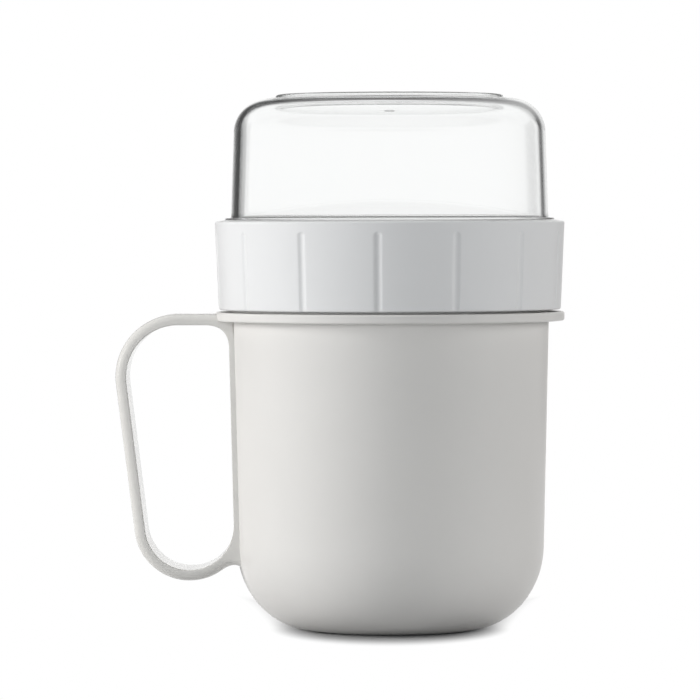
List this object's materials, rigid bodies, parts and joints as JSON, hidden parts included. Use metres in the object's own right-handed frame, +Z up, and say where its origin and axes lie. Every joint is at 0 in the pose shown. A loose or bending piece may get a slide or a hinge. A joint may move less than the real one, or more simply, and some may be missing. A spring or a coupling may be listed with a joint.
{
  "type": "breakfast to-go cup",
  "caption": "Handled mug with a fluted screw collar that holds a divider disc, and a clear bowl screwed mouth down on top, for carrying cereal and yoghurt apart.",
  "frame": {"origin": "centre of the mug's flat base, on the cup's axis", "axes": "+Z up the cup's axis, handle on the -X side, front of the picture facing -Y"},
  "size_m": [0.1348, 0.1048, 0.16],
  "materials": {
    "mug_plastic": "warm light grey polypropylene, satin with a very fine texture",
    "collar_plastic": "cool light grey polypropylene, satin",
    "divider_plastic": "pale grey polypropylene, satin",
    "seal_silicone": "translucent white silicone",
    "bowl_clear": "clear polished plastic"
  },
  "bodies": {
    "mug": {"mug_shell": "mug_plastic", "handle": "mug_plastic"},
    "divider": {"divider_disc": "divider_plastic", "mug_seal": "seal_silicone"},
    "collar": {"screw_collar": "collar_plastic"},
    "bowl_ring": {"bowl_seal": "seal_silicone"},
    "bowl": {"clear_bowl": "bowl_clear"}
  },
  "joints": [
    {"name": "collar_lift", "type": "slide", "parent": "mug", "child": "divider", "axis": [0, 0, 1], "range_m": [0, 0.01205]},
    {"name": "collar_turn", "type": "hinge", "parent": "divider", "child": "collar", "pos_m": [0, 0, 0.109], "axis": [0, 0, 1], "range_deg": [0, 360]},
    {"name": "bowl_lift", "type": "slide", "parent": "collar", "child": "bowl_ring", "axis": [0, 0, 1], "range_m": [0, 0.01305]},
    {"name": "bowl_turn", "type": "hinge", "parent": "bowl_ring", "child": "bowl", "pos_m": [0, 0, 0.1225], "axis": [0, 0, 1], "range_deg": [0, 390]}
  ],
  "couplings": [
    {"joint": "collar_lift", "follows": "collar_turn", "m_per_rad": 0.0019099},
    {"joint": "bowl_lift", "follows": "bowl_turn", "m_per_rad": 0.0019099}
  ]
}
